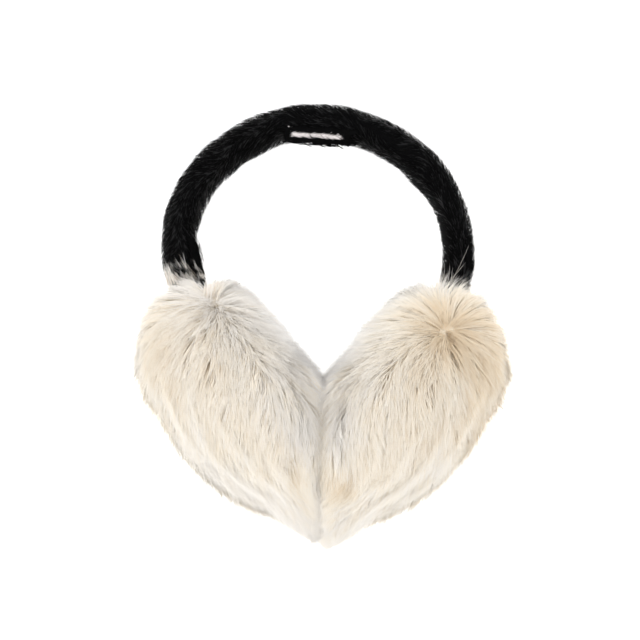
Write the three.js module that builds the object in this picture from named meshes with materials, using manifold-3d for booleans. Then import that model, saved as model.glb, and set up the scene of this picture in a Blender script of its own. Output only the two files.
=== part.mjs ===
// Fur earmuffs laid on their back: a black short-pile band and two deep cream fur pads.
// Millimetres. In the band's own frame X runs from leg to leg, Y up to the crown and Z out of the
// band's plane. The lay group tips that frame, because the thick pads prop up one end.

import * as THREE from 'three';
import { mergeVertices } from 'three/addons/utils/BufferGeometryUtils.js';
import Module from 'manifold-3d';

const wasm = await Module();
wasm.setup();

// Driving sizes of the headband and its sleeve of short pile
const bandHalfWidth = 72;
const bandRise = 74;
const sleeveThick = 18;
const sleeveDepth = 25;
const sleeveSides = 12;
const sleeveStep = 7;

// Sections of the sleeve, from the right end over the crown (90) to the left end, angles in degrees.
// reach is a share of the band's centre line, thick and depth are shares of the sleeve's own sizes,
// and lean is how far, in degrees, the outer side of the section ends before the inner side.
const sleeveSections = [
  { angle: -16, reach: 0.99, thick: 0.80, depth: 0.74, lean: 7 },
  { angle: -9, reach: 0.99, thick: 0.90, depth: 0.90, lean: 3 },
  { angle: 2, reach: 1.00, thick: 0.88, depth: 0.96, lean: 0 },
  { angle: 14, reach: 1.01, thick: 0.87, depth: 0.97, lean: 0 },
  { angle: 26, reach: 1.015, thick: 0.90, depth: 0.98, lean: 0 },
  { angle: 38, reach: 1.01, thick: 1.04, depth: 1.02, lean: 0 },
  { angle: 50, reach: 1.01, thick: 0.97, depth: 1.00, lean: 0 },
  { angle: 62, reach: 1.00, thick: 0.99, depth: 0.98, lean: 0 },
  { angle: 76, reach: 1.00, thick: 1.02, depth: 1.00, lean: 0 },
  { angle: 90, reach: 1.00, thick: 0.99, depth: 1.00, lean: 0 },
  { angle: 98, reach: 1.00, thick: 1.04, depth: 1.01, lean: 0 },
  { angle: 105, reach: 1.01, thick: 0.93, depth: 0.98, lean: 0 },
  { angle: 116, reach: 1.00, thick: 1.08, depth: 1.02, lean: 0 },
  { angle: 128, reach: 1.01, thick: 1.00, depth: 1.00, lean: 0 },
  { angle: 136, reach: 1.01, thick: 1.05, depth: 1.02, lean: 0 },
  { angle: 150, reach: 1.01, thick: 1.00, depth: 0.99, lean: 0 },
  { angle: 162, reach: 1.00, thick: 1.04, depth: 1.02, lean: 0 },
  { angle: 171, reach: 0.99, thick: 0.96, depth: 0.98, lean: 0 },
  { angle: 180, reach: 0.96, thick: 1.10, depth: 1.00, lean: 0 },
  { angle: 189, reach: 0.93, thick: 1.06, depth: 0.92, lean: 0 },
  { angle: 197, reach: 0.905, thick: 0.80, depth: 0.74, lean: 0 },
];

// Driving sizes of the satin ribbon sewn to the underside of the crown
const labelLength = 29;
const labelWidth = 8;
const labelThick = 0.8;
const labelForward = 5;
const labelSlant = 1.6;
const labelRows = 8;
const labelColumns = 3;

// Driving sizes of the metal ends of the band
const stemWidth = 6;
const stemThick = 1.6;
const stemInSleeve = 12;
const stemInPad = 14;
const stemOutward = 4.5;

// Driving sizes of a pad: its length down the pad, its thickness from ear side to outside, and its
// depth from the face towards the viewer to the face on the floor
const padLength = 145;
const padThick = 74;
const padDepth = 116;
const padSplay = 36.9;
const padSquareness = 2.2;
const padRings = 11;
const padSides = 16;

// Sections of a pad from the top (0) to the tip (1). ear and outer are shares of padThick, measured
// from the pad's axis, and depth is a share of padDepth.
const padSections = [
  { along: 0.00, ear: -0.20, outer: -0.20, depth: 0.00 },
  { along: 0.04, ear: -0.36, outer: 0.11, depth: 0.36 },
  { along: 0.10, ear: -0.43, outer: 0.29, depth: 0.53 },
  { along: 0.18, ear: -0.48, outer: 0.385, depth: 0.70 },
  { along: 0.28, ear: -0.505, outer: 0.42, depth: 0.84 },
  { along: 0.39, ear: -0.515, outer: 0.445, depth: 0.95 },
  { along: 0.50, ear: -0.52, outer: 0.455, depth: 1.00 },
  { along: 0.62, ear: -0.49, outer: 0.41, depth: 0.97 },
  { along: 0.73, ear: -0.405, outer: 0.335, depth: 0.84 },
  { along: 0.84, ear: -0.24, outer: 0.22, depth: 0.61 },
  { along: 0.94, ear: -0.03, outer: 0.15, depth: 0.33 },
  { along: 1.00, ear: 0.12, outer: 0.12, depth: 0.00 },
];
const padAxisAlong = 0.47;
const seamShare = -0.33;

// Where each pad sits on the band, measured from the centre of the band's arch
const pads = [
  { side: 'left', outward: -1, across: 39.2, below: 75.6 },
  { side: 'right', outward: 1, across: 43.3, below: 79 },
];
const padsMeetAt = 2;

// Driving sizes of the locks of fur
const outerLock = { length: 36, width: 17, thick: 4.2, rows: 7, spacing: 23.5 };
const earLock = { length: 22, width: 14, thick: 2.6, rows: 6, spacing: 21 };
const lockSteps = 3;
const lockRootDepth = 2.5;
const lockEdgeDepth = 0.4;
const lockRows = { from: 0.03, to: 0.88 };
const lockScatter = { along: 0.02, turn: 0.2 };
const seamMargin = 2;

// How the fur lies. The whorl is the parting beside the band that it turns away from, and the lies
// are directions in the pad's own frame: outwards, up the pad and towards the viewer.
const whorlAlong = 0.15;
const whorlTurn = 122;
const whorlReach = 26;
const whorlPull = 1.6;
const outerLie = new THREE.Vector3(0.5, -0.85, 0);
const earLie = new THREE.Vector3(-0.6, -0.8, 0);

// How the fur is pressed and what space the pieces keep
const crownSink = 1;
const padSink = 3.5;
const gap = 0.3;
const cutter = 400;

const blackPile = new THREE.MeshStandardMaterial({ color: 0x121213, roughness: 0.9, metalness: 0 });
const creamFur = new THREE.MeshStandardMaterial({ color: 0xe9dfcd, roughness: 0.95, metalness: 0 });
const whiteFur = new THREE.MeshStandardMaterial({ color: 0xe8e4dc, roughness: 0.95, metalness: 0 });
const goldMetal = new THREE.MeshStandardMaterial({ color: 0xcbb37a, roughness: 0.35, metalness: 1 });
const satin = new THREE.MeshStandardMaterial({ color: 0xeeeae8, roughness: 0.45, metalness: 0 });

// Smooth curve through one column of a table
function column(rows, key, name) {
  const places = rows.map((row) => row[key]);
  const values = rows.map((row) => row[name]);
  const curve = new THREE.CubicInterpolant(places, values, 1);
  return (place) => curve.evaluate(place)[0];
}

// Repeatable spread between -1 and 1 for the n-th lock
function spread(n) {
  const wave = Math.sin(n * 12.9898 + 4.1) * 43758.5453;
  return 2 * (wave - Math.floor(wave)) - 1;
}

// Rings of points joined into one closed skin. A fan closes each end, to the middle of its ring or,
// at the last one, to a tip.
function loft(rings, tip = null) {
  const count = rings[0].length;
  const last = rings.length - 1;
  const points = rings.flat();
  const faces = [];
  for (let ring = 0; ring < last; ring += 1) {
    for (let k = 0; k < count; k += 1) {
      const a = ring * count + k;
      const b = ring * count + ((k + 1) % count);
      faces.push(a, b, a + count, b, b + count, a + count);
    }
  }
  const middleOf = (ring) => ring.reduce((sum, p) => sum.add(p), new THREE.Vector3())
    .divideScalar(count);
  points.push(middleOf(rings[0]), tip ?? middleOf(rings[last]));
  for (let k = 0; k < count; k += 1) {
    const next = (k + 1) % count;
    faces.push(points.length - 2, next, k);
    faces.push(points.length - 1, last * count + k, last * count + next);
  }
  const skin = new THREE.BufferGeometry().setFromPoints(points);
  skin.setIndex(faces);
  return skin;
}

// A closed skin as a solid that can be joined and cut
function solidOf(geometry) {
  const bare = geometry.clone();
  bare.deleteAttribute('normal');
  bare.deleteAttribute('uv');
  const merged = mergeVertices(bare, 1e-4);
  return new wasm.Manifold(new wasm.Mesh({
    numProp: 3,
    vertProperties: new Float32Array(merged.attributes.position.array),
    triVerts: new Uint32Array(merged.index.array),
  }));
}

// The largest body of a cut solid, as a geometry, without the loose ends that a cut leaves
function geometryOf(solid) {
  const bodies = solid.decompose();
  bodies.sort((a, b) => b.volume() - a.volume());
  const mesh = bodies[0].getMesh();
  const geometry = new THREE.BufferGeometry();
  geometry.setAttribute('position', new THREE.BufferAttribute(mesh.vertProperties, 3));
  geometry.setIndex(new THREE.BufferAttribute(mesh.triVerts, 1));
  geometry.computeVertexNormals();
  return geometry;
}

// A large block with one face at the origin, facing along a direction, to cut with
function blockBehind(direction, point) {
  const block = new THREE.BoxGeometry(cutter, cutter, cutter).translate(0, 0, -cutter / 2);
  const turn = new THREE.Quaternion().setFromUnitVectors(new THREE.Vector3(0, 0, 1), direction);
  return block.applyQuaternion(turn).translate(point.x, point.y, point.z);
}

// The lay group: the crown and both pads rest on the floor
const crownRest = sleeveDepth / 2 - crownSink;
const padRest = padDepth / 2 - padSink;
const padsBelow = (pads[0].below + pads[1].below) / 2;
const layAngle = Math.asin((padRest - crownRest) / (bandRise + padsBelow));
const lay = new THREE.Group();
lay.rotation.x = -layAngle;
lay.position.z = crownRest + bandRise * Math.sin(layAngle);
lay.updateMatrixWorld(true);
const floor = blockBehind(new THREE.Vector3(0, 0, 1), new THREE.Vector3());
const floorInBand = floor.clone().applyMatrix4(lay.matrixWorld.clone().invert());

// Headband sleeve: an oval padded tube swept round the arch
const sleeveReach = column(sleeveSections, 'angle', 'reach');
const sleeveThickAt = column(sleeveSections, 'angle', 'thick');
const sleeveDepthAt = column(sleeveSections, 'angle', 'depth');
const sleeveLean = column(sleeveSections, 'angle', 'lean');

// A point of the sleeve: angle round the arch, turn round the section (0 is away from the head)
function sleevePoint(angle, turn, extra) {
  const lean = sleeveLean(angle) * Math.cos(turn) * Math.sign(90 - angle);
  const place = THREE.MathUtils.degToRad(angle + lean);
  const thick = sleeveThick / 2 * sleeveThickAt(angle) + extra;
  const depth = sleeveDepth / 2 * sleeveDepthAt(angle) + extra;
  const outward = thick * Math.cos(turn);
  const reach = sleeveReach(angle);
  return new THREE.Vector3(
    (bandHalfWidth * reach + outward) * Math.cos(place),
    (bandRise * reach + outward) * Math.sin(place),
    depth * Math.sin(turn),
  );
}

function sleeveSkin(extra) {
  const past = THREE.MathUtils.radToDeg(2 * extra / bandHalfWidth);
  const first = sleeveSections[0].angle - past;
  const last = sleeveSections[sleeveSections.length - 1].angle + past;
  const steps = Math.round((last - first) / sleeveStep);
  const rings = [];
  for (let i = 0; i <= steps; i += 1) {
    const angle = first + (last - first) * i / steps;
    const ring = [];
    for (let k = 0; k < sleeveSides; k += 1) {
      ring.push(sleevePoint(angle, -2 * Math.PI * (k + 0.5) / sleeveSides, extra));
    }
    rings.push(ring);
  }
  return loft(rings);
}

// Where a metal end of the band leaves the sleeve, and the frame that it lies along
function stemFrame(angle) {
  const place = THREE.MathUtils.degToRad(angle);
  const reach = sleeveReach(angle);
  const frame = new THREE.Object3D();
  frame.position.set(
    (bandHalfWidth * reach + stemOutward) * Math.cos(place),
    (bandRise * reach + stemOutward) * Math.sin(place),
    0,
  );
  frame.rotation.z = place;
  frame.updateMatrix();
  return frame.matrix;
}

function stemBox(end, extra) {
  const length = stemInSleeve + stemInPad + 2 * extra;
  const box = new THREE.BoxGeometry(stemThick + 2 * extra, length, stemWidth + 2 * extra);
  const slide = (stemInSleeve - stemInPad) / 2;
  box.translate(0, end.outward > 0 ? slide : -slide, 0);
  return box.applyMatrix4(stemFrame(end.angle));
}

const ends = {
  right: { outward: 1, angle: sleeveSections[0].angle + sleeveSections[0].lean },
  left: { outward: -1, angle: sleeveSections[sleeveSections.length - 1].angle },
};

let sleeve = solidOf(sleeveSkin(0)).subtract(solidOf(floorInBand));
Object.values(ends).forEach((end) => {
  sleeve = sleeve.subtract(solidOf(stemBox(end, gap)));
});
const sleeveMesh = new THREE.Mesh(geometryOf(sleeve), blackPile);
sleeveMesh.name = 'headband_sleeve';
lay.add(sleeveMesh);

// Label: a bare satin ribbon that follows the underside of the crown
function labelSkin() {
  const rings = [];
  const halfAngle = THREE.MathUtils.radToDeg(labelLength / 2 / (bandRise - sleeveThick / 2));
  for (let i = 0; i <= labelRows; i += 1) {
    const share = 2 * i / labelRows - 1;
    const angle = 90 - share * halfAngle;
    const depth = sleeveDepth / 2 * sleeveDepthAt(angle);
    const ring = [];
    for (const layer of [0, 1]) {
      for (let k = 0; k <= labelColumns; k += 1) {
        const step = layer === 0 ? k : labelColumns - k;
        const across = labelForward - labelSlant * share + labelWidth * (step / labelColumns - 0.5);
        const turn = Math.PI - Math.asin(across / depth);
        ring.push(sleevePoint(angle, turn, 2 * gap + layer * labelThick));
      }
    }
    rings.push(ring);
  }
  return loft(rings);
}

const labelMesh = new THREE.Mesh(geometryOf(solidOf(labelSkin())), satin);
labelMesh.name = 'label';
lay.add(labelMesh);

// Pad surface: a point at a place along the pad and a turn round it (0 is the outside of the pad,
// a quarter turn the side towards the viewer, half a turn the side that faces the ear)
const padEar = column(padSections, 'along', 'ear');
const padOuter = column(padSections, 'along', 'outer');
const padDepthAt = column(padSections, 'along', 'depth');

function squared(value) {
  return Math.sign(value) * Math.abs(value) ** (2 / padSquareness);
}

function padPoint(along, turn) {
  const place = THREE.MathUtils.clamp(along, 0, 1);
  const ear = padThick * padEar(place);
  const outer = padThick * padOuter(place);
  const depth = padDepth / 2 * Math.max(padDepthAt(place), 0);
  return new THREE.Vector3(
    (ear + outer) / 2 + (outer - ear) / 2 * squared(Math.cos(turn)),
    padLength * (padAxisAlong - place),
    depth * squared(Math.sin(turn)),
  );
}

function padSkin() {
  const rings = [];
  for (let i = 0; i < padRings; i += 1) {
    const along = 0.5 - 0.5 * Math.cos(Math.PI * (i + 0.5) / padRings);
    const ring = [];
    for (let k = 0; k < padSides; k += 1) {
      ring.push(padPoint(along, 2 * Math.PI * (k + 0.5) / padSides));
    }
    rings.push(ring);
  }
  return loft(rings);
}

// The way the fur lies: away from the whorl beside the band, then down the outside of the pad, and
// on the ear side across to the edge that faces the other pad
const whorl = padPoint(whorlAlong, THREE.MathUtils.degToRad(whorlTurn));

function furFlow(point, earSide) {
  const away = point.clone().sub(whorl);
  away.z = Math.abs(point.z) - whorl.z;
  const pull = whorlPull * Math.exp(-away.length() / whorlReach);
  away.normalize();
  away.z *= Math.sign(point.z);
  return away.multiplyScalar(pull).add(earSide ? earLie : outerLie);
}

// The surface at a place: its point, its normal and how it runs along both of its directions
function padTangents(along, turn) {
  const step = 0.004;
  const point = padPoint(along, turn);
  const alongWay = padPoint(along + step, turn).sub(padPoint(along - step, turn));
  const turnWay = padPoint(along, turn + step).sub(padPoint(along, turn - step));
  alongWay.divideScalar(2 * step);
  turnWay.divideScalar(2 * step);
  const normal = new THREE.Vector3().crossVectors(turnWay, alongWay).normalize();
  return { point, normal, alongWay, turnWay };
}

// One lock: a four-sided strip that starts under the surface, follows the fur's lie in short steps,
// swells in the middle and rises to a point
function lockSkin(start, size, earSide) {
  let { along, turn } = start;
  let tip = null;
  const rings = [];
  const stride = size.length / lockSteps;
  for (let i = 0; i <= lockSteps; i += 1) {
    const { point, normal, alongWay, turnWay } = padTangents(along, turn);
    const flow = furFlow(point, earSide);
    flow.addScaledVector(normal, -flow.dot(normal)).normalize();
    const across = new THREE.Vector3().crossVectors(normal, flow);
    const grown = i / lockSteps;
    const half = size.width / 2 * (0.75 + 0.9 * grown * (1 - grown));
    const rise = size.thick * (0.35 + 0.85 * Math.sqrt(grown));
    const lifted = (out, up) => point.clone().addScaledVector(across, out)
      .addScaledVector(normal, up);
    if (i === lockSteps) {
      tip = lifted(0, size.thick * 0.9);
    } else {
      rings.push([
        lifted(half, -lockEdgeDepth),
        lifted(0, rise),
        lifted(-half, -lockEdgeDepth),
        lifted(0, -lockRootDepth),
      ]);
    }
    const alongSquare = alongWay.dot(alongWay);
    const turnSquare = turnWay.dot(turnWay);
    const shear = alongWay.dot(turnWay);
    const alongStride = flow.dot(alongWay) * stride;
    const turnStride = flow.dot(turnWay) * stride;
    const area = alongSquare * turnSquare - shear * shear;
    along += (alongStride * turnSquare - turnStride * shear) / area;
    turn += (turnStride * alongSquare - alongStride * shear) / area;
    along = THREE.MathUtils.clamp(along, 0.03, 0.985);
  }
  return loft(rings, tip);
}

// Rows of locks over one panel, every second row shifted by half a lock
function lockStarts(size, earSide) {
  const starts = [];
  for (let row = 0; row < size.rows; row += 1) {
    const along = THREE.MathUtils.lerp(lockRows.from, lockRows.to, (row + 0.5) / size.rows);
    const across = padDepth * padDepthAt(along) + padThick * (padOuter(along) - padEar(along));
    const count = Math.round(across * Math.PI / 2 / size.spacing);
    for (let k = 0; k < count; k += 1) {
      const number = 2 * (row * padSides + k);
      const place = k + (row % 2) / 2 + lockScatter.turn * spread(number);
      const start = {
        along: along + lockScatter.along * spread(number + 1),
        turn: 2 * Math.PI * place / count,
      };
      const fromSeam = padPoint(start.along, start.turn).x - padThick * seamShare;
      if (earSide ? fromSeam < -seamMargin : fromSeam > seamMargin) {
        starts.push(start);
      }
    }
  }
  return starts;
}

// One fur panel of a pad, with its locks, in the pad's own frame for a pad that faces right
function panelSolid(earSide) {
  const size = earSide ? earLock : outerLock;
  let solid = solidOf(padSkin());
  lockStarts(size, earSide).forEach((start) => {
    solid = solid.add(solidOf(lockSkin(start, size, earSide)));
  });
  const facing = new THREE.Vector3(earSide ? -1 : 1, 0, 0);
  const seam = new THREE.Vector3(padThick * seamShare + facing.x * gap / 2, 0, 0);
  return solid.subtract(solidOf(blockBehind(facing, seam)));
}

const panels = [
  { name: 'outer_fur', material: creamFur, solid: panelSolid(false) },
  { name: 'ear_side_fur', material: whiteFur, solid: panelSolid(true) },
];

pads.forEach((pad) => {
  const group = new THREE.Group();
  group.position.set(pad.outward * pad.across, -pad.below, 0);
  group.rotation.z = -pad.outward * THREE.MathUtils.degToRad(padSplay);
  lay.add(group);
  group.updateMatrixWorld(true);
  const bandInPad = group.matrix.clone().invert();
  const meet = new THREE.Vector3(padsMeetAt + pad.outward * gap / 2, 0, 0);
  const cuts = [
    floorInBand,
    blockBehind(new THREE.Vector3(pad.outward, 0, 0), meet),
    sleeveSkin(gap),
    stemBox(ends[pad.side], gap),
  ];
  panels.forEach((panel) => {
    let solid = pad.outward > 0 ? panel.solid : panel.solid.mirror([1, 0, 0]);
    cuts.forEach((cut) => {
      solid = solid.subtract(solidOf(cut.clone().applyMatrix4(bandInPad)));
    });
    const mesh = new THREE.Mesh(geometryOf(solid), panel.material);
    mesh.name = `${panel.name}_${pad.side}`;
    group.add(mesh);
  });
  const stem = new THREE.Mesh(stemBox(ends[pad.side], 0), goldMetal);
  stem.name = `band_stem_${pad.side}`;
  lay.add(stem);
});

// The whole part stands centred over the origin
const earmuffs = new THREE.Group();
earmuffs.add(lay);
earmuffs.updateMatrixWorld(true);
const middle = new THREE.Box3().setFromObject(earmuffs, true).getCenter(new THREE.Vector3());
lay.position.x -= middle.x;
lay.position.y -= middle.y;
earmuffs.updateMatrixWorld(true);

export default earmuffs;
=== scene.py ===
import math
import bmesh
import bpy
import numpy as np
from mathutils import Matrix, Vector, noise
from mathutils.bvhtree import BVHTree


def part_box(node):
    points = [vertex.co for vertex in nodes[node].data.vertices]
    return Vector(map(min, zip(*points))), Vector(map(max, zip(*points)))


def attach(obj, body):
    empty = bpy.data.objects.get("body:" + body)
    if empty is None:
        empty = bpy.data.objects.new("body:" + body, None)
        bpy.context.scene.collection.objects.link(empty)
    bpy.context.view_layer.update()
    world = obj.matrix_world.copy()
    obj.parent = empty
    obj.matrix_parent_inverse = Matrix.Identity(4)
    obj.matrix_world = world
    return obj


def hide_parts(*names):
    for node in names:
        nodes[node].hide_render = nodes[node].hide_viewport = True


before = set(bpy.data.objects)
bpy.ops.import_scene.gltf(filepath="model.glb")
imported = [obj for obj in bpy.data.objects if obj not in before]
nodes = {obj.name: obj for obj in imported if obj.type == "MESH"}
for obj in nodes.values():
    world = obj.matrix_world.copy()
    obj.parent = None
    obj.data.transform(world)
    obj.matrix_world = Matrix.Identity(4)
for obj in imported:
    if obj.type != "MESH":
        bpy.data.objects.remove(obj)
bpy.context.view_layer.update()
scene = bpy.context.scene
MM = 0.001

# Camera: straight above the crown and pads, as the photograph looks at them.
# 320 mm of the plane half-way up the pads fills the picture's width.
PICTURE_WIDTH = 320 * MM
SUBJECT_PLANE = 55 * MM
CAMERA_DISTANCE = 1.5
SENSOR = 36
camera_data = bpy.data.cameras.new("camera")
camera_data.sensor_width = SENSOR
camera_data.lens = SENSOR * CAMERA_DISTANCE / PICTURE_WIDTH
camera_data.clip_end = 20
camera = bpy.data.objects.new("camera", camera_data)
camera.location = (-0.75 * MM, 0.75 * MM, SUBJECT_PLANE + CAMERA_DISTANCE)
scene.collection.objects.link(camera)
scene.camera = camera

# Stage: a pale glowing floor, an even white surround, a broad soft light from the upper left and
# a weaker one low over the crown.
FLOOR_SIZE = 6.0
bpy.ops.mesh.primitive_plane_add(size=FLOOR_SIZE, location=(0, 0, 0))
floor = bpy.context.active_object
floor.name = "floor"
floor_paint = bpy.data.materials.new("floor_paint")
floor_paint.use_nodes = True
floor_shader = floor_paint.node_tree.nodes["Principled BSDF"]
floor_shader.inputs["Base Color"].default_value = (0.93, 0.93, 0.93, 1)
floor_shader.inputs["Roughness"].default_value = 0.9
floor_shader.inputs["Emission Color"].default_value = (1, 1, 1, 1)
floor_shader.inputs["Emission Strength"].default_value = 0.75
floor.data.materials.append(floor_paint)

world = bpy.data.worlds.new("studio")
world.use_nodes = True
world.node_tree.nodes["Background"].inputs["Color"].default_value = (1, 1, 1, 1)
world.node_tree.nodes["Background"].inputs["Strength"].default_value = 0.95
scene.world = world
scene.view_settings.view_transform = "Standard"

LIGHTS = {
    "key": {"place": (-0.3, -0.35, 1.6), "size": 1.4, "energy": 10.5},
    "fill": {"place": (0.15, 1.4, 0.8), "size": 1.2, "energy": 1.5},
}
for name, light in LIGHTS.items():
    place = Vector(light["place"])
    lamp_data = bpy.data.lights.new(name, "AREA")
    lamp_data.size = light["size"]
    lamp_data.energy = light["energy"]
    lamp = bpy.data.objects.new(name, lamp_data)
    lamp.location = place
    lamp.rotation_euler = (-place).to_track_quat("-Z", "Y").to_euler()
    scene.collection.objects.link(lamp)

# Backing skins of the pads: each pad is a padded cushion of knitted backing, an outer panel and an
# ear-side panel sewn together. They are rounded copies of the solids, drawn in under the fur.
LAY_TURN = Matrix.Rotation(-math.radians(16.511), 3, "X")
PAD_SPLAY = math.radians(36.9)
SEAM_ACROSS = -24.4 * MM

# Each pad: its middle (mm), its whorl (mm from there, outward, up the pad and towards the viewer),
# how much painted shade darkens the fur's tone all over and at the rim, and how much the tone
# changes at the whorl
PADS = [
    {"side": "left", "outward": -1, "middle": (-41.25, -41.21, 54.02),
     "whorl": (-20.8, 45.0, 33.0), "painted_shade": 0.0, "rim_painted_shade": 0.2, "whorl_tone": 0.05},
    {"side": "right", "outward": 1, "middle": (41.25, -44.46, 54.98),
     "whorl": (-2.0, 40.7, 42.0), "painted_shade": 0.1, "rim_painted_shade": 0.4, "whorl_tone": -0.5},
]
for pad in PADS:
    side = pad["outward"]
    outward = LAY_TURN @ Vector((side * math.cos(PAD_SPLAY), -math.sin(PAD_SPLAY), 0))
    up = LAY_TURN @ Vector((side * math.sin(PAD_SPLAY), math.cos(PAD_SPLAY), 0))
    viewer = LAY_TURN @ Vector((0, 0, 1))
    pad["axes"] = np.array([outward, up, viewer])
    pad["middle"] = np.array(pad["middle"]) * MM
    pad["whorl"] = np.array(pad["whorl"]) * MM


def select_only(*objects):
    bpy.ops.object.select_all(action="DESELECT")
    for item in objects:
        item.select_set(True)
    bpy.context.view_layer.objects.active = objects[0]


def apply_modifier(piece, kind, **values):
    """Adds one modifier to a piece and applies it."""
    modifier = piece.modifiers.new(kind.lower(), kind)
    for name, value in values.items():
        setattr(modifier, name, value)
    select_only(piece)
    bpy.ops.object.modifier_apply(modifier=modifier.name)


def shell_of(name, sources, voxel, smoothing):
    """One closed smooth skin round copies of CAD meshes, as far out as they reach."""
    joined = bmesh.new()
    for source in sources:
        joined.from_mesh(nodes[source].data)
    bmesh.ops.remove_doubles(joined, verts=joined.verts, dist=0.01 * MM)
    mesh = bpy.data.meshes.new(name)
    joined.to_mesh(mesh)
    joined.free()
    piece = bpy.data.objects.new(name, mesh)
    scene.collection.objects.link(piece)
    apply_modifier(piece, "REMESH", mode="VOXEL", voxel_size=voxel, use_smooth_shade=True)
    apply_modifier(piece, "SMOOTH", factor=0.5, iterations=smoothing)
    return piece


def points_of(mesh):
    """Places and normals of a mesh's vertices."""
    places = np.empty(len(mesh.vertices) * 3)
    normals = np.empty(len(mesh.vertices) * 3)
    mesh.vertices.foreach_get("co", places)
    mesh.vertices.foreach_get("normal", normals)
    return places.reshape(-1, 3), normals.reshape(-1, 3)


def push_along_normals(mesh, pushes):
    """Moves each vertex along its normal by its own push."""
    places, normals = points_of(mesh)
    mesh.vertices.foreach_set("co", (places + normals * pushes(places)[:, None]).ravel())
    mesh.update()


def drawn_in(name, shell, insets, smoothing):
    """A copy of a shell, drawn in along its normals to where the fur is rooted."""
    piece = bpy.data.objects.new(name, shell.data.copy())
    scene.collection.objects.link(piece)
    push_along_normals(piece.data, lambda places: -insets(places))
    apply_modifier(piece, "SMOOTH", factor=0.5, iterations=smoothing)
    return piece


def smooth_step(low, high, values):
    share = np.clip((values - low) / (high - low), 0, 1)
    return share * share * (3 - 2 * share)


def finish_piece(piece, material, slot, *replaced):
    """Gives a piece its material and its place in the part."""
    piece.data.materials.clear()
    piece.data.materials.append(material)
    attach(piece, "root")
    if replaced:
        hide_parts(*replaced)


def new_material(name, roughness, **settings):
    """A material with its Principled shader, whose even values sit on the shader itself."""
    material = bpy.data.materials.new(name)
    material.use_nodes = True
    shader = material.node_tree.nodes["Principled BSDF"]
    shader.inputs["Roughness"].default_value = roughness
    for socket, value in settings.items():
        shader.inputs[socket.replace("_", " ")].default_value = value
    return material, shader


def make_group(name, inputs, outputs):
    """An empty shader group with typed sockets."""
    group = bpy.data.node_groups.new(name, "ShaderNodeTree")
    for label, kind, value in inputs:
        socket = group.interface.new_socket(label, in_out="INPUT", socket_type=kind)
        socket.default_value = value
    for label, kind in outputs:
        group.interface.new_socket(label, in_out="OUTPUT", socket_type=kind)
    return group, group.nodes.new("NodeGroupInput"), group.nodes.new("NodeGroupOutput")


COLOR = "NodeSocketColor"
FLOAT = "NodeSocketFloat"

# Mottled felt of the undercoat, from the object's own coordinates
felt, felt_in, felt_out = make_group(
    "felt",
    [("Dark", COLOR, (0, 0, 0, 1)), ("Light", COLOR, (1, 1, 1, 1)), ("Scale", FLOAT, 300)],
    [("Color", COLOR), ("Height", FLOAT)],
)
felt_place = felt.nodes.new("ShaderNodeTexCoord")
felt_noise = felt.nodes.new("ShaderNodeTexNoise")
felt_noise.inputs["Detail"].default_value = 4
felt_mix = felt.nodes.new("ShaderNodeMix")
felt_mix.data_type = "RGBA"
felt.links.new(felt_place.outputs["Object"], felt_noise.inputs["Vector"])
felt.links.new(felt_in.outputs["Scale"], felt_noise.inputs["Scale"])
felt.links.new(felt_noise.outputs["Fac"], felt_mix.inputs["Factor"])
felt.links.new(felt_in.outputs["Dark"], felt_mix.inputs["A"])
felt.links.new(felt_in.outputs["Light"], felt_mix.inputs["B"])
felt.links.new(felt_mix.outputs["Result"], felt_out.inputs["Color"])
felt.links.new(felt_noise.outputs["Fac"], felt_out.inputs["Height"])


def felt_material(name, dark, light, scale):
    material, shader = new_material(name, 0.95, Sheen_Weight=0.2)
    tree = material.node_tree
    group = tree.nodes.new("ShaderNodeGroup")
    group.node_tree = felt
    group.inputs["Dark"].default_value = (*dark, 1)
    group.inputs["Light"].default_value = (*light, 1)
    group.inputs["Scale"].default_value = scale
    bump = tree.nodes.new("ShaderNodeBump")
    bump.inputs["Strength"].default_value = 0.6
    bump.inputs["Distance"].default_value = 0.5 * MM
    tree.links.new(group.outputs["Color"], shader.inputs["Base Color"])
    tree.links.new(group.outputs["Height"], bump.inputs["Height"])
    tree.links.new(bump.outputs["Normal"], shader.inputs["Normal"])
    return material


undercoat = felt_material("undercoat", (0.80, 0.70, 0.55), (0.90, 0.82, 0.70), 320)
PAD_VOXEL = 3 * MM
FUR_DEPTH = 6 * MM
TIP_THINNER = 0.8
TIP_FROM = -36 * MM
TIP_TO = -70 * MM
SEAM_GAP = 0.1 * MM


def in_pad(pad, points):
    """Points in the pad's own axes: outward, up the pad and towards the viewer."""
    return (points - pad["middle"]) @ pad["axes"].T


def up_the_pad(pad, points):
    return in_pad(pad, points)[..., 1]


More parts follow.
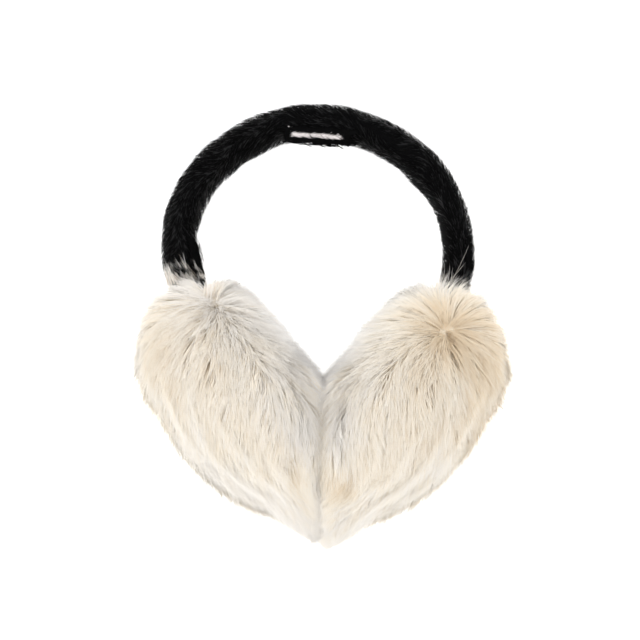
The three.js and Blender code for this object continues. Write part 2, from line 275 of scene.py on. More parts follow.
for pad in PADS:
    side = pad["side"]

    def pad_inset(places):
        """The fur is thinner towards the narrow tip."""
        thinner = smooth_step(TIP_FROM, TIP_TO, up_the_pad(pad, places))
        return FUR_DEPTH * (1 - TIP_THINNER * thinner)

    shell = shell_of(f"shell_{side}", [f"outer_fur_{side}", f"ear_side_fur_{side}"], PAD_VOXEL, 5)
    whole = drawn_in(f"backing_{side}", shell, pad_inset, 6)
    outward = Vector(pad["axes"][0])
    seam = Vector(pad["middle"]) + outward * SEAM_ACROSS
    for panel, facing, slot in (("outer_fur", 1, "cream_fur"), ("ear_side_fur", -1, "white_fur")):
        half = bmesh.new()
        half.from_mesh(whole.data)
        cut = bmesh.ops.bisect_plane(
            half,
            geom=half.verts[:] + half.edges[:] + half.faces[:],
            plane_co=seam + outward * facing * SEAM_GAP,
            plane_no=outward * facing,
            clear_inner=True,
        )
        edges = [item for item in cut["geom_cut"] if isinstance(item, bmesh.types.BMEdge)]
        bmesh.ops.triangle_fill(half, edges=edges, use_beauty=True)
        bmesh.ops.recalc_face_normals(half, faces=half.faces)
        mesh = bpy.data.meshes.new(f"{panel}_skin_{side}")
        half.to_mesh(mesh)
        half.free()
        skin = bpy.data.objects.new(f"{panel}_skin_{side}", mesh)
        scene.collection.objects.link(skin)
        finish_piece(skin, undercoat, slot, f"{panel}_{side}")
    pad["shell"] = shell
    pad["whole"] = whole

# Fur of the pads: long faux fur in locks that part at a whorl beside the band. Each strand is a
# thin tapering ribbon that follows its lock's guide, tan at the root and ivory at the tip.
MOST_FUR = 13 * MM


class Surface:
    """A skin that strands can be rooted on and led along."""

    def __init__(self, piece):
        mesh = piece.data
        mesh.calc_loop_triangles()
        self.points, smooth = points_of(mesh)
        corners = np.empty(len(mesh.loop_triangles) * 3, int)
        mesh.loop_triangles.foreach_get("vertices", corners)
        self.corners = corners.reshape(-1, 3)
        self.tree = BVHTree.FromPolygons(self.points.tolist(), self.corners.tolist())
        self.normals = unit(smooth[self.corners].mean(axis=1))
        a, b, c = (self.points[self.corners[:, k]] for k in range(3))
        self.areas = np.linalg.norm(np.cross(b - a, c - a), axis=1) / 2

    def scatter(self, rng, count):
        """Random points all over the skin, as dense everywhere."""
        chosen = rng.choice(len(self.areas), count, p=self.areas / self.areas.sum())
        u, v = rng.random(count), rng.random(count)
        over = u + v > 1
        u[over], v[over] = 1 - u[over], 1 - v[over]
        a, b, c = (self.points[self.corners[chosen, k]] for k in range(3))
        return a + (b - a) * u[:, None] + (c - a) * v[:, None]

    def nearest(self, points):
        found = [self.tree.find_nearest(point) for point in points.tolist()]
        places = np.array([hit[0] for hit in found])
        return places, self.normals[[hit[2] for hit in found]]

    def depth_to(self, outer, places, normals):
        """How far it is from places on this skin, along its normals, to an outer skin."""
        depths = []
        for place, normal in zip(places.reshape(-1, 3).tolist(), normals.reshape(-1, 3).tolist()):
            hit = outer.tree.ray_cast(Vector(place), Vector(normal), MOST_FUR)
            depths.append(MOST_FUR if hit[3] is None else hit[3])
        return np.array(depths).reshape(places.shape[:2])

    def march(self, starts, lengths, steps, flow):
        """Points and normals of paths that follow the flow over the skin."""
        place, normal = self.nearest(starts)
        places, normals = [place], [normal]
        for _ in range(steps):
            way = flow(place)
            way = unit(way - normal * (way * normal).sum(axis=1, keepdims=True))
            place, normal = self.nearest(place + way * (lengths / steps)[:, None])
            places.append(place)
            normals.append(normal)
        return np.stack(places, axis=1), np.stack(normals, axis=1)


def unit(vectors):
    return vectors / np.maximum(np.linalg.norm(vectors, axis=-1, keepdims=True), 1e-12)


def spaced(points, gaps):
    """Thins random points until none is closer to an earlier one than its gap."""
    kept = np.empty_like(points)
    count = 0
    for point, gap in zip(points, gaps):
        if count == 0 or ((kept[:count] - point) ** 2).sum(axis=1).min() > gap * gap:
            kept[count] = point
            count += 1
    return kept[:count]


def cloud(points, size, seed):
    """Smooth noise between about -1 and 1 at some points, over patches of a size."""
    shift = Vector((seed * 7.3, seed * 3.1, seed * 5.7))
    return np.array([noise.noise(Vector(point) / size + shift) for point in points]) * 1.6


def at_shares(paths, shares):
    """Points at shares (strands, rings) of marched paths (strands, steps, 3)."""
    last = paths.shape[1] - 1
    spot = np.clip(shares, 0, 1) * last
    step = np.minimum(spot.astype(int), last - 1)
    weight = (spot - step)[..., None]
    strand = np.arange(len(paths))[:, None]
    return paths[strand, step] * (1 - weight) + paths[strand, step + 1] * weight


def ribbons(name, paths, faces_out, widths, tones, rng):
    """Joins tapering ribbons into one mesh, with a UV of tone across and root to tip up. The
    ribbons are shaded as soft as the skin that they stand on."""
    count, rings = paths.shape[0], paths.shape[1]
    taper = np.interp(np.linspace(0, 1, rings), [0, 0.3, 0.7, 1], [0.75, 1, 0.75, 0])
    ways = unit(np.gradient(paths, axis=1))
    across = unit(np.cross(ways, faces_out))
    twist = rng.normal(0, 0.2, count)[:, None, None]
    across = across * np.cos(twist) + np.cross(ways, across) * np.sin(twist)
    reach = across * (widths[:, None] * taper[None, :] / 2)[..., None]
    body = np.stack([paths - reach, paths + reach], axis=2)[:, :-1]
    body = body.reshape(count, -1, 3)
    points = np.concatenate([body, paths[:, -1:]], axis=1)
    size = points.shape[1]
    pattern = []
    for ring in range(rings - 2):
        pattern += [2 * ring, 2 * ring + 1, 2 * ring + 3, 2 * ring + 2]
    pattern += [size - 3, size - 2, size - 1]
    loops = (np.arange(count)[:, None] * size + np.array(pattern)).ravel()
    sizes = np.tile([4] * (rings - 2) + [3], count)
    starts = np.concatenate([[0], np.cumsum(sizes)[:-1]])
    mesh = bpy.data.meshes.new(name)
    mesh.vertices.add(count * size)
    mesh.vertices.foreach_set("co", points.astype(np.float32).ravel())
    mesh.loops.add(len(loops))
    mesh.polygons.add(len(starts))
    mesh.polygons.foreach_set("loop_start", starts.astype(np.int32))
    mesh.loops.foreach_set("vertex_index", loops.astype(np.int32))
    mesh.update(calc_edges=True)
    mesh.validate()
    mesh.shade_smooth()
    edge_normals = np.repeat(faces_out[:, :-1], 2, axis=1)
    skin_normals = np.concatenate([edge_normals, faces_out[:, -1:]], axis=1)
    mesh.normals_split_custom_set_from_vertices(skin_normals.reshape(-1, 3).tolist())
    heights = np.linspace(0.02, 0.98, rings)
    point_v = np.append(np.repeat(heights[:-1], 2), heights[-1])
    point_u = np.append(np.tile([-0.004, 0.004], rings - 1), 0)
    corner_u = np.clip(tones, 0.01, 0.99)[:, None] + point_u[pattern]
    corner_v = np.broadcast_to(point_v[pattern], corner_u.shape)
    layer = mesh.uv_layers.new(name="OFBake")
    layer.data.foreach_set("uv", np.stack([corner_u, corner_v], axis=2).astype(np.float32).ravel())
    piece = bpy.data.objects.new(name, mesh)
    scene.collection.objects.link(piece)
    return piece


# Colour of a strand from its own UV: root to tip, and from strand to strand deeper or paler; on
# the pads these tones carry painted shade and painted light as well as the fur's own tones
strand, strand_in, strand_out = make_group(
    "strand_colour",
    [("Root", COLOR, (0, 0, 0, 1)), ("Body", COLOR, (0, 0, 0, 1)), ("Tip", COLOR, (0, 0, 0, 1)),
     ("Deep", COLOR, (0, 0, 0, 1)), ("Pale", COLOR, (0, 0, 0, 1))],
    [("Color", COLOR)],
)


def mix_step(tree, factor, a, b, mode="MIX"):
    mix = tree.nodes.new("ShaderNodeMix")
    mix.data_type = "RGBA"
    mix.blend_type = mode
    tree.links.new(factor, mix.inputs["Factor"])
    tree.links.new(a, mix.inputs["A"])
    tree.links.new(b, mix.inputs["B"])
    return mix.outputs["Result"]


def soft_range(tree, value, low, high):
    step = tree.nodes.new("ShaderNodeMapRange")
    step.interpolation_type = "SMOOTHSTEP"
    step.inputs["From Min"].default_value = low
    step.inputs["From Max"].default_value = high
    tree.links.new(value, step.inputs["Value"])
    return step.outputs["Result"]


strand_uv = strand.nodes.new("ShaderNodeUVMap")
strand_uv.uv_map = "OFBake"
strand_place = strand.nodes.new("ShaderNodeSeparateXYZ")
strand.links.new(strand_uv.outputs["UV"], strand_place.inputs["Vector"])
tone, height = strand_place.outputs["X"], strand_place.outputs["Y"]
lower = mix_step(strand, soft_range(strand, height, 0.05, 0.5),
                 strand_in.outputs["Root"], strand_in.outputs["Body"])
upper = mix_step(strand, soft_range(strand, height, 0.5, 1.0), lower, strand_in.outputs["Tip"])
darkness = soft_range(strand, tone, 0.75, 0.0)
toned = mix_step(strand, darkness, upper, strand_in.outputs["Deep"], "MULTIPLY")
paled = mix_step(strand, soft_range(strand, tone, 0.7, 1.0), toned, strand_in.outputs["Pale"])
strand.links.new(paled, strand_out.inputs["Color"])


def strand_material(name, colours, roughness, **settings):
    material, shader = new_material(name, roughness, **settings)
    tree = material.node_tree
    group = tree.nodes.new("ShaderNodeGroup")
    group.node_tree = strand
    for label, colour in colours.items():
        group.inputs[label].default_value = (*colour, 1)
    tree.links.new(group.outputs["Color"], shader.inputs["Base Color"])
    return material


# Deep and Pale colour the darker and paler strands: the fur's own tones, and on the pads also
# painted shade and painted light
CREAM = {"Root": (0.88, 0.78, 0.63), "Body": (0.96, 0.88, 0.75), "Tip": (0.97, 0.93, 0.85),
         "Deep": (0.85, 0.76, 0.63), "Pale": (0.92, 0.885, 0.835)}
IVORY = {"Root": (0.92, 0.86, 0.78), "Body": (0.97, 0.93, 0.87), "Tip": (0.985, 0.965, 0.94),
         "Deep": (0.86, 0.75, 0.61), "Pale": (0.98, 0.96, 0.93)}
cream = strand_material("cream_fur_strands", CREAM, 0.7, Specular_IOR_Level=0.15)
ivory = strand_material("white_fur_strands", IVORY, 0.7, Specular_IOR_Level=0.15)

# Per panel: strand length, gap between guides, strands to a guide, how wide a lock spreads, strand
# width, how many loose strands and their width, how far the tips stand off the lie of the fur, how
# straight the strands run, rings to a strand, how much a lock draws together, sideways sway, seed
PANELS = [
    {"name": "outer_fur", "facing": 1, "material": cream, "slot": "cream_fur",
     "length": 20 * MM, "gap": 2.6 * MM, "lock": 19, "spread": 2.3 * MM,
     "width": 0.26 * MM, "loose": 36000, "fine": 0.27 * MM, "proud": 2.2 * MM, "stiff": 0.5,
     "rings": 4, "gather": (0.0, 0.35), "sway": 0.6 * MM, "seed": 11},
    {"name": "ear_side_fur", "facing": -1, "material": ivory, "slot": "white_fur",
     "length": 12 * MM, "gap": 1.9 * MM, "lock": 15, "spread": 1.8 * MM,
     "width": 0.24 * MM, "loose": 15000, "fine": 0.26 * MM, "proud": 1.7 * MM, "stiff": 0.6,
     "rings": 4, "gather": (0.0, 0.35), "sway": 0.6 * MM, "seed": 23},
]
TRIES = 16000
MARCH_STEPS = 8
STRAIGHT_SHARE = 0.5

# The lie of each panel's fur in the pad's axes, and how it leans inward at the narrow tip
OUTER_LIE = np.array([0.5, -0.85, 0.0])
EAR_LIE = np.array([-0.7, -0.65, 0.0])
SEAM_BLEND = 9 * MM
TIP_START = -36 * MM
TIP_END = -56 * MM
TIP_LEAN = 0.35
TIP_SHORTER = 0.5
TIP_FLATTER = 0.5

# The whorl: how far and how strongly it turns the fur, its own size, and how stray the fur lies
WHORL_REACH = 32 * MM
WHORL_PULL = 2.4
WHORL_SIZE = 13 * MM
STRAY = 0.2
WHORL_STRAY = 0.9
STRAY_PATCH = 9 * MM

# Where the fur ends: above the floor, at most this far over to the other pad, and standing up at
# the crease between the pads to fill it
FLOOR_GAP = 0.4 * MM
CROSSING = 5 * MM
CREASE_REACH = 15 * MM
CREASE_HEIGHT = 0.4
CREASE_FILL = 12 * MM

# Tone of a strand, and how much each place lightens or darkens it. The lightening at the tip and
# on the sides turned from the viewer is painted light, with paler tips seen edge-on on the sides;
# the darkening in the crease is painted shade
TONE = {"middle": 0.62, "patches": 0.1, "above_whorl": 0.15, "turned_away": 0.3, "tip": 0.1,
        "ear_side": 0.3, "crease": -0.7}
TONE_PATCH = 14 * MM
# Where the painted shade at the pads' rims starts and is full, out from the middle
RIM_START = 58 * MM
RIM_END = 84 * MM


def fur_lie(pad):
    """The way the fur lies: away from the whorl, then down the pad or across its ear side."""
    def flow(points):
        local = in_pad(pad, points)
        near = np.tanh(local[:, 2] / (12 * MM))
        away = local - pad["whorl"]
        away[:, 2] = np.abs(local[:, 2]) - pad["whorl"][2]
        distance = np.linalg.norm(away, axis=1)
        away[:, 2] *= near
        pull = WHORL_PULL * np.exp(-(distance / WHORL_REACH) ** 2)
        share = smooth_step(-SEAM_BLEND, SEAM_BLEND, local[:, 0] - SEAM_ACROSS)[:, None]
        lie = EAR_LIE * (1 - share) + OUTER_LIE * share
        above = local[:, 1] - pad["whorl"][1]
        lie[:, 1] *= 1 - smooth_step(-6 * MM, 14 * MM, above)
        lie[:, 0] -= TIP_LEAN * smooth_step(TIP_START, TIP_END, local[:, 1])
        swirl = np.stack([cloud(points, STRAY_PATCH, seed) for seed in (4, 5, 6)], axis=1)
        stray = STRAY + WHORL_STRAY * np.exp(-(distance / WHORL_SIZE) ** 2)
        return (unit(away) * pull[:, None] + lie + stray[:, None] * swirl) @ pad["axes"]
    return flow


def soft_limit(values, limit, room):
    """Values that bend away from a limit over a room before it, instead of crossing it."""
    over = np.maximum(values - (limit - room), 0)
    return np.where(over > 0, limit - room * np.exp(-over / room), values)


def close_crease(paths, outs, pad):
    """Stands the fur up where the two pads lean together, so that it closes over the crease, and
    turns the normals up there, and a little everywhere, as light spreads through fur.
    """
    near = smooth_step(CREASE_REACH, 2 * MM, np.abs(paths[..., 0]))
    facing = np.tanh((paths[..., 2] - pad["middle"][2]) / (10 * MM))
    grown = np.linspace(0, 1, paths.shape[1])[None, :]
    deep = smooth_step(-72 * MM, -48 * MM, up_the_pad(pad, paths))
    paths, outs = paths.copy(), outs.copy()
    paths[..., 2] += CREASE_FILL * near * facing * grown * deep
    outs[..., 2] += facing * (0.4 + 1.6 * near)
    return paths, unit(outs)


def keep_clear(paths, side):
    """Keeps strands above the floor and on their own pad's side of the other pad."""
    paths[..., 2] = -soft_limit(-paths[..., 2], -FLOOR_GAP, 1.5 * MM)
    paths[..., 0] = -side * soft_limit(-side * paths[..., 0], CROSSING, 4 * MM)
    return paths


def spines(paths, normals, shares, stiffness):
    """Each strand's own line along its guide. Past its bend a stiff strand runs straight on."""
    line = at_shares(paths, shares)
    out = unit(at_shares(normals, shares))
    bend = line[:, 1:2]
    way = unit(bend - line[:, :1])
    steps = np.linalg.norm(np.diff(line, axis=1), axis=2)
    past = np.cumsum(steps, axis=1) - steps[:, :1]
    past = np.concatenate([np.zeros((len(line), 1)), past], axis=1)[..., None]
    straight = bend + way * past
    weight = stiffness[:, None, None] * (past > 0)
    return line * (1 - weight) + straight * weight, out


def lock_strands(rng, paths, normals, depths, stiffness, panel):
    """Strands round each guide, drawn together towards the lock's tip."""
    guides = len(paths)
    who = np.repeat(np.arange(guides), panel["lock"])
    count = len(who)
    grown = np.linspace(0, 1, panel["rings"])[None, :]
    long = rng.uniform(0.72, 1.0, count) * rng.uniform(0.85, 1.0, guides)[who]
    spine, out = spines(paths[who], normals[who], grown * long[:, None], stiffness[who])
    way = unit(paths[:, 2] - paths[:, 0])[who]
    beside = unit(np.cross(normals[who, 0], way))
    turn = rng.uniform(0, 2 * math.pi, count)
    far = panel["spread"] * np.sqrt(rng.random(count))
    offset = beside * (far * np.cos(turn))[:, None] + way * (far * np.sin(turn))[:, None]
    gather = rng.uniform(*panel["gather"], guides)[who]
    keep = 1 - gather[:, None] * grown ** 0.9
    lift = rng.uniform(0.92, 1.02, guides)[who] * rng.uniform(0.8, 1.05, count)
    depth = at_shares(depths[who][..., None], grown * long[:, None])[..., 0]
    rise = depth * lift[:, None] * (1 - (1 - grown) ** 1.6) + panel["proud"] * grown ** 2
    sway = rng.normal(0, panel["sway"], count)[:, None] * grown ** 1.5
    lean = rng.normal(0, 0.9 * panel["sway"], guides)[who][:, None] * grown ** 2
    strands = spine + offset[:, None, :] * keep[..., None] + out * rise[..., None]
    strands += beside[:, None, :] * (sway + lean)[..., None]
    return strands, out, who


def loose_strands(rng, paths, normals, depths, stiffness, panel):
    """Single strands that leave the locks and show as fine hairs over them."""
    count = len(paths)
    grown = np.linspace(0, 1, 3)[None, :]
    shares = grown * rng.uniform(0.65, 1.0, count)[:, None]
    spine, out = spines(paths, normals, shares, stiffness)
    depth = at_shares(depths[..., None], shares)[..., 0]
    rise = depth * rng.uniform(0.8, 1.1, count)[:, None] * (1 - (1 - grown) ** 1.5)
    rise += panel["proud"] * rng.uniform(0.3, 3.0, count)[:, None] * grown ** 2
    beside = unit(np.cross(normals[:, 0], unit(paths[:, 2] - paths[:, 0])))
    sway = rng.normal(0, 3 * panel["sway"], count)[:, None] * grown ** 1.6
    return spine + out * rise[..., None] + beside[:, None, :] * sway[..., None], out


def buried(surface, paths):
    """Which strands have a point inside a closed solid."""
    inside = np.zeros(len(paths), bool)
    up = Vector((0, 0, 1))
    for strand_number, path in enumerate(paths[:, 2:].tolist()):
        for point in path:
            hit = surface.tree.ray_cast(Vector(point), up)
            inside[strand_number] |= hit[0] is not None and hit[1].z > 0
    return inside


def on_panel(pad, panel, points):
    """The points that lie on the panel's side of the seam."""
    return points[panel["facing"] * (in_pad(pad, points)[:, 0] - SEAM_ACROSS) > 0]


def from_whorl(pad, points):
    local = in_pad(pad, points)
    local[:, 2] = np.abs(local[:, 2])
    return np.linalg.norm(local - pad["whorl"], axis=1)


def fur_tones(pad, panel, starts, paths, normals):
    """How pale each strand is: darker at the whorl, with painted shade over a pad, at its rim and
    down in the crease, and painted light at its narrow tip and its sides.
    """
    over, up, _ = in_pad(pad, starts).T
    turned = 1 - np.abs(normals[:, 0] @ pad["axes"][2])
    crease = smooth_step(12 * MM, 3 * MM, np.abs(paths[..., 0]).min(axis=1))
    # Painted shade: a whole pad's fur darker all over
    tones = TONE["middle"] - pad["painted_shade"]
    tones = tones + TONE["patches"] * cloud(paths[:, 4], TONE_PATCH, panel["seed"])
    tones += TONE["above_whorl"] * smooth_step(-4 * MM, 12 * MM, up - pad["whorl"][1])
    # Painted light on the sides turned from the viewer, together with the paler tips seen edge-on
    # there
    tones += TONE["turned_away"] * smooth_step(0.3, 0.9, turned)
    # Painted light: paler towards the pad's narrow tip
    tones += TONE["tip"] * smooth_step(-10 * MM, -60 * MM, up)
    tones += TONE["ear_side"] * smooth_step(2 * MM, -18 * MM, over)
    # Painted shade: darker down in the crease where the pads lean together
    tones += TONE["crease"] * crease * smooth_step(-60 * MM, -40 * MM, up)
    # Painted shade: darker towards the pad's rim
    tones -= pad["rim_painted_shade"] * smooth_step(RIM_START, RIM_END, np.abs(starts[:, 0]))
    return tones + pad["whorl_tone"] * np.exp(-(from_whorl(pad, starts) / WHORL_SIZE) ** 2)


sleeve_solid = Surface(nodes["headband_sleeve"])
covers = [sleeve_solid, Surface(nodes["label"])]
for pad in PADS:
    surface = Surface(pad["whole"])
    covers.append(surface)
    shell = Surface(pad["shell"])
    flow = fur_lie(pad)
    side = pad["side"]
    for panel in PANELS:
        rng = np.random.default_rng(panel["seed"] + pad["outward"])
        tries = on_panel(pad, panel, surface.scatter(rng, TRIES))
        apart = smooth_step(0.3, 1.2, from_whorl(pad, tries) / WHORL_SIZE)
        roots = spaced(tries, panel["gap"] * (0.55 + 0.45 * apart))
        loose_roots = on_panel(pad, panel, surface.scatter(rng, 6 * panel["loose"]))
        loose_roots = loose_roots[:panel["loose"]]
        starts = np.concatenate([roots, loose_roots])
        open_out = smooth_step(0, WHORL_SIZE, from_whorl(pad, starts))
        up_pad = up_the_pad(pad, starts)
        lengths = panel["length"] * rng.uniform(0.85, 1.15, len(starts)) * (0.4 + 0.6 * open_out)
        lengths *= 1 - TIP_SHORTER * smooth_step(TIP_START, 1.3 * TIP_END, up_pad)
        paths, normals = surface.march(starts, lengths, MARCH_STEPS, flow)
        depths = surface.depth_to(shell, paths, normals)
        depths *= 1 + CREASE_HEIGHT * smooth_step(CREASE_REACH, 3 * MM, np.abs(paths[..., 0]))
        depths *= 1 - TIP_FLATTER * smooth_step(-40 * MM, -72 * MM, up_the_pad(pad, paths))
        stiffness = panel["stiff"] + (1 - panel["stiff"]) * smooth_step(TIP_START, TIP_END, up_pad)
        stiffness[len(roots):][rng.random(len(loose_roots)) < STRAIGHT_SHARE] = 1
        base = fur_tones(pad, panel, starts, paths, normals)
        count = len(roots)
        strands, out, who = lock_strands(
            rng, paths[:count], normals[:count], depths[:count], stiffness[:count], panel
        )
        singles, single_out = loose_strands(
            rng, paths[count:], normals[count:], depths[count:], stiffness[count:], panel
        )
        lock_tones = base[who] + rng.normal(0, 0.05, count)[who] + rng.normal(0, 0.06, len(who))
        single_tones = base[count:] + rng.normal(0.05, 0.12, len(singles))
        layers = [
            ("strands", strands, out, lock_tones, panel["width"]),
            ("guard_hairs", singles, single_out, single_tones, panel["fine"]),
        ]
        for layer, lines, faces_out, tones, width in layers:
            lines, faces_out = close_crease(lines, faces_out, pad)
            lines = keep_clear(lines, pad["outward"])
            clear = np.ones(len(lines), bool)
            close = lines[:, :, 1].max(axis=1) > 0
            clear[close] = ~buried(sleeve_solid, lines[close])
            widths = width * rng.uniform(0.7, 1.2, clear.sum())
            name = f"{panel['name']}_{side}_{layer}"
            fur = ribbons(name, lines[clear], faces_out[clear], widths, tones[clear], rng)
            finish_piece(fur, panel["material"], panel["slot"], f"{panel['name']}_{side}")
            print(name, count, "locks", clear.sum(), "strands")
    bpy.data.objects.remove(pad["whole"])
    bpy.data.objects.remove(pad["shell"])

# Headband sleeve: a padded tube of black short-pile fur. The pile lies along the band, from the
# right end over the crown to the left end, and stands in small tufts.
ARCH_MIDDLE = np.array([-2.05, 31.28, 32.53]) * MM
PILE = {"length": 6.0 * MM, "height": 1.9 * MM, "gap": 1.75 * MM, "lock": 9,
        "spread": 1.4 * MM, "width": 0.36 * MM, "loose": 9000, "seed": 37, "rings": 3,
        "gather": (0.2, 0.7), "sway": 0.2 * MM, "proud": 0.5 * MM, "stiff": 0.3}
PILE_ROOTED = 1.3 * MM
PILE_SWIRL = 0.75
PILE_SWIRL_SIZE = 22 * MM
sleeve_shell = shell_of("sleeve_shell", ["headband_sleeve"], 2 * MM, 4)
sleeve_skin = drawn_in(
    "sleeve_skin", sleeve_shell, lambda places: np.full(len(places), PILE_ROOTED), 2
)
bpy.data.objects.remove(sleeve_shell)
black_felt = felt_material("black_felt", (0.004, 0.004, 0.005), (0.010, 0.010, 0.011), 500)
finish_piece(sleeve_skin, black_felt, "black_pile", "headband_sleeve")
BLACK = {"Root": (0.001, 0.001, 0.0012), "Body": (0.002, 0.002, 0.0023),
         "Tip": (0.003, 0.003, 0.0032), "Deep": (0.5, 0.5, 0.52), "Pale": (0.004, 0.004, 0.0042)}
black = strand_material("black_pile_strands", BLACK, 0.6, Specular_IOR_Level=0.04)


def pile_lie(points):
    """Along the arch towards its left end, with slow swirls."""
    local = (points - ARCH_MIDDLE) @ np.array(LAY_TURN)
    round_arch = np.stack([-local[:, 1], local[:, 0], 0 * local[:, 0]], axis=1)
    swirl = np.stack([cloud(points, PILE_SWIRL_SIZE, seed) for seed in (1, 2, 3)], axis=1)
    return (unit(round_arch) + PILE_SWIRL * swirl) @ np.array(LAY_TURN).T


rng = np.random.default_rng(PILE["seed"])
surface = Surface(sleeve_skin)
tries = surface.scatter(rng, TRIES)
roots = spaced(tries, np.full(len(tries), PILE["gap"]))
starts = np.concatenate([roots, surface.scatter(rng, PILE["loose"])])
lengths = PILE["length"] * rng.uniform(0.7, 1.15, len(starts))
paths, normals = surface.march(starts, lengths, 3, pile_lie)
count = len(roots)
depths = PILE["height"] * (1 + 0.25 * cloud(paths[:, 0], 12 * MM, 8))
depths = np.repeat(depths[:, None], paths.shape[1], axis=1)
stiffness = np.full(len(starts), PILE["stiff"])
strands, out, who = lock_strands(
    rng, paths[:count], normals[:count], depths[:count], stiffness[:count], PILE
)
singles, single_out = loose_strands(
    rng, paths[count:], normals[count:], depths[count:], stiffness[count:], PILE
)
strands = np.concatenate([strands, singles])
out = np.concatenate([out, single_out])
strands[..., 2] = -soft_limit(-strands[..., 2], -FLOOR_GAP, 1.0 * MM)
patch = cloud(paths[:, 0], 16 * MM, PILE["seed"])
tones = 0.5 + 0.2 * np.concatenate([patch[who], patch[count:]]) + rng.normal(0, 0.15, len(strands))
widths = PILE["width"] * rng.uniform(0.7, 1.2, len(strands))
pile = ribbons("sleeve_pile", strands, out, widths, tones, rng)
finish_piece(pile, black, "black_pile", "headband_sleeve")
print("sleeve pile", count, "tufts", len(strands), "strands")

# Metal ends of the band: flat gold-coloured spring steel, brushed along its length. Only a few
# millimetres show between the sleeve and the fur.
gold, gold_shader = new_material("gold_metal", 0.32, Metallic=1.0)
gold_tree = gold.node_tree
gold_place = gold_tree.nodes.new("ShaderNodeTexCoord")
gold_stretch = gold_tree.nodes.new("ShaderNodeMapping")
gold_stretch.inputs["Scale"].default_value = (2500, 150, 2500)
gold_noise = gold_tree.nodes.new("ShaderNodeTexNoise")
gold_noise.inputs["Scale"].default_value = 1.0
gold_ramp = gold_tree.nodes.new("ShaderNodeValToRGB")
gold_ramp.color_ramp.elements[0].color = (0.72, 0.55, 0.27, 1)
gold_ramp.color_ramp.elements[1].color = (0.93, 0.80, 0.50, 1)
gold_bump = gold_tree.nodes.new("ShaderNodeBump")
gold_bump.inputs["Strength"].default_value = 0.25
gold_bump.inputs["Distance"].default_value = 0.05 * MM
gold_tree.links.new(gold_place.outputs["Object"], gold_stretch.inputs["Vector"])
gold_tree.links.new(gold_stretch.outputs["Vector"], gold_noise.inputs["Vector"])
gold_tree.links.new(gold_noise.outputs["Fac"], gold_ramp.inputs["Fac"])
gold_tree.links.new(gold_noise.outputs["Fac"], gold_bump.inputs["Height"])
gold_tree.links.new(gold_ramp.outputs["Color"], gold_shader.inputs["Base Color"])
gold_tree.links.new(gold_bump.outputs["Normal"], gold_shader.inputs["Normal"])
for side in ("left", "right"):
    nodes[f"band_stem_{side}"].material_slots[0].material = gold

# Label: a bare satin ribbon, woven with a raised selvedge, whose ends are turned under and sewn
# to the underside of the crown.
satin, satin_shader = new_material("satin_ribbon", 0.38, Sheen_Weight=0.3, Sheen_Roughness=0.3)
satin_tree = satin.node_tree
satin_place = satin_tree.nodes.new("ShaderNodeTexCoord")
satin_noise = satin_tree.nodes.new("ShaderNodeTexNoise")
satin_noise.inputs["Scale"].default_value = 260
satin_ramp = satin_tree.nodes.new("ShaderNodeValToRGB")
satin_ramp.color_ramp.elements[0].color = (0.80, 0.74, 0.74, 1)
satin_ramp.color_ramp.elements[1].color = (0.90, 0.85, 0.85, 1)
satin_weave = satin_tree.nodes.new("ShaderNodeTexWave")
satin_weave.bands_direction = "X"
satin_weave.inputs["Scale"].default_value = 900
satin_weave.inputs["Distortion"].default_value = 0.6
satin_bump = satin_tree.nodes.new("ShaderNodeBump")
satin_bump.inputs["Strength"].default_value = 0.35
satin_bump.inputs["Distance"].default_value = 0.06 * MM
satin_tree.links.new(satin_place.outputs["Object"], satin_noise.inputs["Vector"])
satin_tree.links.new(satin_place.outputs["Object"], satin_weave.inputs["Vector"])
satin_tree.links.new(satin_noise.outputs["Fac"], satin_ramp.inputs["Fac"])
satin_tree.links.new(satin_ramp.outputs["Color"], satin_shader.inputs["Base Color"])
satin_tree.links.new(satin_weave.outputs["Fac"], satin_bump.inputs["Height"])
satin_tree.links.new(satin_bump.outputs["Normal"], satin_shader.inputs["Normal"])

LABEL_RIPPLE = 0.18 * MM
LABEL_RIPPLE_LENGTH = 6.5 * MM
SELVEDGE = 0.12 * MM
ribbon_form = bmesh.new()
ribbon_form.from_mesh(nodes["label"].data)
bmesh.ops.remove_doubles(ribbon_form, verts=ribbon_form.verts, dist=0.01 * MM)
ribbon_mesh = bpy.data.meshes.new("label_ribbon")
ribbon_form.to_mesh(ribbon_mesh)
ribbon_form.free()
ribbon = bpy.data.objects.new("label_ribbon", ribbon_mesh)
scene.collection.objects.link(ribbon)
apply_modifier(ribbon, "BEVEL", width=0.2 * MM, segments=2, limit_method="ANGLE")
apply_modifier(ribbon, "SUBSURF", subdivision_type="SIMPLE", levels=2)
apply_modifier(ribbon, "SMOOTH", factor=0.5, iterations=3)
low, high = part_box("label")


def ribbon_form_of(places):
    """A slow ripple along the ribbon and a raised line along its edges."""
    wave = np.sin(2 * math.pi * places[:, 0] / LABEL_RIPPLE_LENGTH)
    edge = np.abs(2 * (places[:, 2] - low.z) / (high.z - low.z) - 1) ** 8
    return LABEL_RIPPLE * wave * 0.5 + SELVEDGE * edge


push_along_normals(ribbon.data, ribbon_form_of)
finish_piece(ribbon, satin, "satin_ribbon", "label")

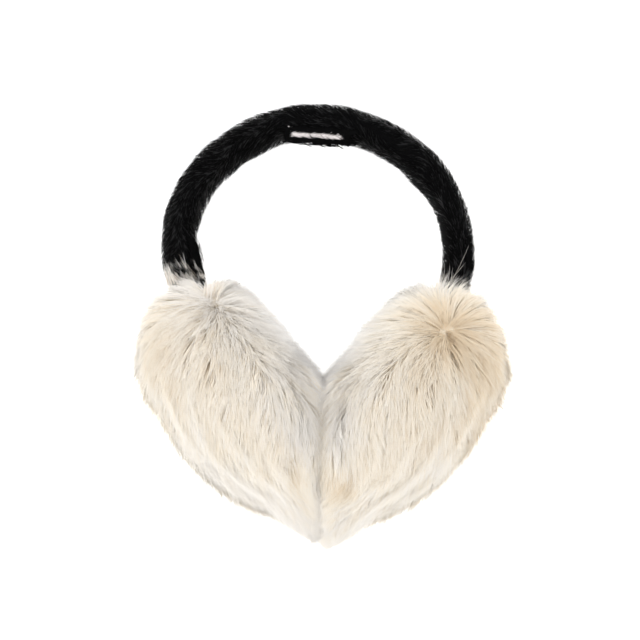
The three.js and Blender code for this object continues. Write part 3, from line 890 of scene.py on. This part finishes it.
# Hairs laid over what they are rooted beside: pale hairs of the pads over the sleeve's ends, the
# sleeve's black fringe over the pads, and black pile that has worked over the ribbon's edges.
# Each row: first root, last root, first tip and last tip (in the plan, mm), how many, and the width
# and lift of a hair (mm)
LAID = {
    "end_hairs_left": (ivory, "cream_fur", [
        ((-60, 15), (-78, 16), (-65, 23), (-80, 24.5), 110, 0.13, 4.5),
        ((-63, 22), (-74, 21), (-71, 33), (-81, 27.5), 46, 0.1, 4.5),
        ((-57.5, 21), (-61, 22), (-61.5, 28.5), (-66, 31), 22, 0.1, 4.5),
        ((-58, 12), (-44, 16), (-57.5, 21.5), (-43, 21.5), 320, 0.2, 4.5),
        ((-80, 9), (-87, -2), (-87, 13), (-95.5, 0), 260, 0.2, 4.5),
        ((-73, 20), (-78, 18), (-77.5, 29.5), (-80.5, 28), 90, 0.12, 5.0),
        ((-67, 27.8), (-67, 27.8), (-70.7, 40.6), (-70.7, 40.6), 1, 0.12, 2.4),
    ]),
    "end_hairs_right": (ivory, "cream_fur", [
        ((59, 10), (75, 8), (58.5, 16), (75, 14), 70, 0.13, 4.5),
        ((59, 14.3), (64, 15.3), (56.5, 25), (65.5, 29.3), 30, 0.11, 4.0),
        ((65.5, 21.3), (65.5, 21.3), (75.4, 39.2), (75.4, 39.2), 1, 0.1, 2.4),
        ((66.5, 21.3), (66.5, 21.3), (76.2, 34.4), (76.2, 34.4), 1, 0.1, 2.4),
        ((70.5, 16.5), (73, 15), (75, 22), (79, 18), 8, 0.12, 3.0),
    ]),
    "end_fringe_left": (black, "black_pile", [
        ((-76, 27), (-60, 25.5), (-75.5, 22.5), (-59.5, 21), 260, 0.24, 4.5),
        ((-65, 42), (-61.8, 26), (-62.4, 38), (-59.2, 23), 480, 0.24, 1.0),
        ((-66.5, 42), (-63.5, 27), (-64.2, 37), (-60.5, 22), 360, 0.24, 1.6),
    ]),
    "end_fringe_right": (black, "black_pile", [
        ((62.5, 20), (74, 19), (62, 13.8), (73.5, 13), 260, 0.24, 4.5),
        ((73.5, 43), (73.8, 27), (76.4, 39), (77.2, 25), 300, 0.24, 1.0),
        ((72.8, 21), (72.3, 16), (76, 18.5), (75.2, 13), 60, 0.24, 1.4),
    ]),
    "label_pile": (black, "black_pile", [
        ((-15, 99.2), (19, 97.2), (-21, 97.4), (13, 95.0), 520, 0.3, 0.7),
        ((-14, 92.4), (18, 90.8), (-20, 94.2), (12, 92.4), 760, 0.3, 0.7),
        ((-18.5, 99), (-18.5, 92), (-15.5, 98), (-15.5, 94), 160, 0.3, 1.4),
        ((14.5, 95), (14, 91), (9.5, 95.2), (11, 92.5), 110, 0.3, 0.7),
    ]),
}
ABOVE_ALL = 0.2
DOWN = Vector((0, 0, -1))
MOST_DROP = 1.5 * MM
LAID_RINGS = 4
ROOT_STRAY = 0.7 * MM
TIP_STRAY = 0.6 * MM
LAID_SEED = 51


def top_at(spot):
    """Height of the highest skin under a spot of the plan."""
    start = Vector((spot[0], spot[1], ABOVE_ALL))
    hits = [cover.tree.ray_cast(start, DOWN)[0] for cover in covers]
    return max((hit.z for hit in hits if hit is not None), default=0.0)


def between(first, last, shares):
    return (np.array(first) * (1 - shares) + np.array(last) * shares) * MM


def laid_lines(rng, root_from, root_to, tip_from, tip_to, count, lift):
    """Hairs between two rows of the plan, bowed a little, that rest on what lies below."""
    shares = rng.random(count)[:, None]
    first = between(root_from, root_to, shares) + rng.normal(0, ROOT_STRAY, (count, 2))
    run = between(tip_from, tip_to, shares) + rng.normal(0, TIP_STRAY, (count, 2)) - first
    run = run * rng.uniform(0.6, 1.1, count)[:, None]
    bow = rng.normal(0, 0.08, count)[:, None] * np.stack([-run[:, 1], run[:, 0]], axis=1)
    grown = np.linspace(0, 1, LAID_RINGS)[None, :, None]
    plan = first[:, None] + run[:, None] * grown + bow[:, None] * grown ** 2
    heights = np.array([top_at(spot) for spot in plan.reshape(-1, 2)]).reshape(count, LAID_RINGS)
    heights = np.maximum(heights, heights.max(axis=1, keepdims=True) - MOST_DROP)
    rise = lift * MM * rng.uniform(0.5, 1.2, count)[:, None] * (1.3 - 0.6 * grown[..., 0])
    return np.concatenate([plan, (heights + rise)[..., None]], axis=2)


for name, (material, slot, rows) in LAID.items():
    rng = np.random.default_rng(LAID_SEED)
    lines = [laid_lines(rng, *row[:5], row[6]) for row in rows]
    widths = np.concatenate([np.full(row[4], row[5] * MM) for row in rows])
    lines = np.concatenate(lines)
    faces_out = np.tile(np.array([0.0, 0.0, 1.0]), lines.shape[:2] + (1,))
    widths = widths * rng.uniform(0.7, 1.2, len(lines))
    tones = rng.uniform(0.3, 0.95, len(lines))
    hairs = ribbons(name, lines, faces_out, widths, tones, rng)
    finish_piece(hairs, material, slot)
